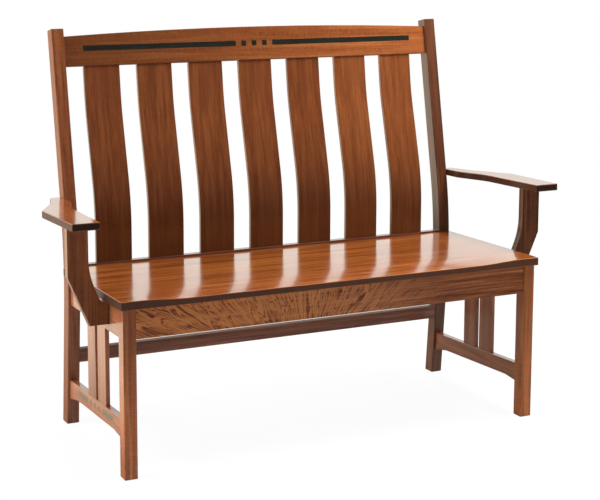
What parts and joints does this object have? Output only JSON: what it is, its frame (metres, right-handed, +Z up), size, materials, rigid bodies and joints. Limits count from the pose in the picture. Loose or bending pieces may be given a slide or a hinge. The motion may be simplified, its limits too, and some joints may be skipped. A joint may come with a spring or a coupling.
{
  "type": "mission settle",
  "caption": "Mission settle in stained oak: raked bent posts, bent back slats under an inlaid crest rail, rolled plank seat, flat arms on cranked supports.",
  "frame": {"origin": "on the floor, under the middle of the bounding box", "axes": "+X along the bench to the right as seen from the front, +Y from front to back, +Z up"},
  "size_m": [1.4488, 0.6054, 1.0982],
  "materials": {
    "oak": "quartersawn oak, red-brown stain, gloss lacquer",
    "seat_oak": "quartersawn oak, lighter red-brown stain, gloss lacquer",
    "slat_oak": "quartersawn oak, darker red-brown stain, gloss lacquer",
    "inlay": "ebony-coloured hardwood, lacquered flush",
    "key_oak": "unstained oak, glued"
  },
  "bodies": {
    "root": {"arm_key_left": "key_oak", "arm_key_right": "key_oak", "arm_left": "oak", "arm_right": "oak", "arm_support_left": "oak", "arm_support_right": "oak", "back_post_left": "oak", "back_post_right": "oak", "back_rail": "oak", "back_slat_1": "slat_oak", "back_slat_2": "slat_oak", "back_slat_3": "slat_oak", "back_slat_4": "slat_oak", "back_slat_5": "slat_oak", "back_slat_6": "slat_oak", "back_slat_7": "slat_oak", "crest_inlay_1": "inlay", "crest_inlay_2": "inlay", "crest_inlay_3": "inlay", "crest_inlay_4": "inlay", "crest_inlay_5": "inlay", "crest_rail": "oak", "front_apron": "oak", "front_block_left": "oak", "front_block_right": "oak", "front_leg_left": "oak", "front_leg_right": "oak", "rear_block_left": "oak", "rear_block_right": "oak", "rear_stretcher": "oak", "seat": "seat_oak", "seat_brace": "oak", "side_apron_left": "oak", "side_apron_right": "oak", "side_slat_1_left": "slat_oak", "side_slat_1_right": "slat_oak", "side_slat_2_left": "slat_oak", "side_slat_2_right": "slat_oak", "side_stretcher_left": "oak", "side_stretcher_right": "oak", "stretcher_inlay_1_left": "inlay", "stretcher_inlay_1_right": "inlay", "stretcher_inlay_2_left": "inlay", "stretcher_inlay_2_right": "inlay", "stretcher_inlay_3_left": "inlay", "stretcher_inlay_3_right": "inlay", "stretcher_inlay_4_left": "inlay", "stretcher_inlay_4_right": "inlay", "stretcher_inlay_5_left": "inlay", "stretcher_inlay_5_right": "inlay"}
  },
  "joints": []
}
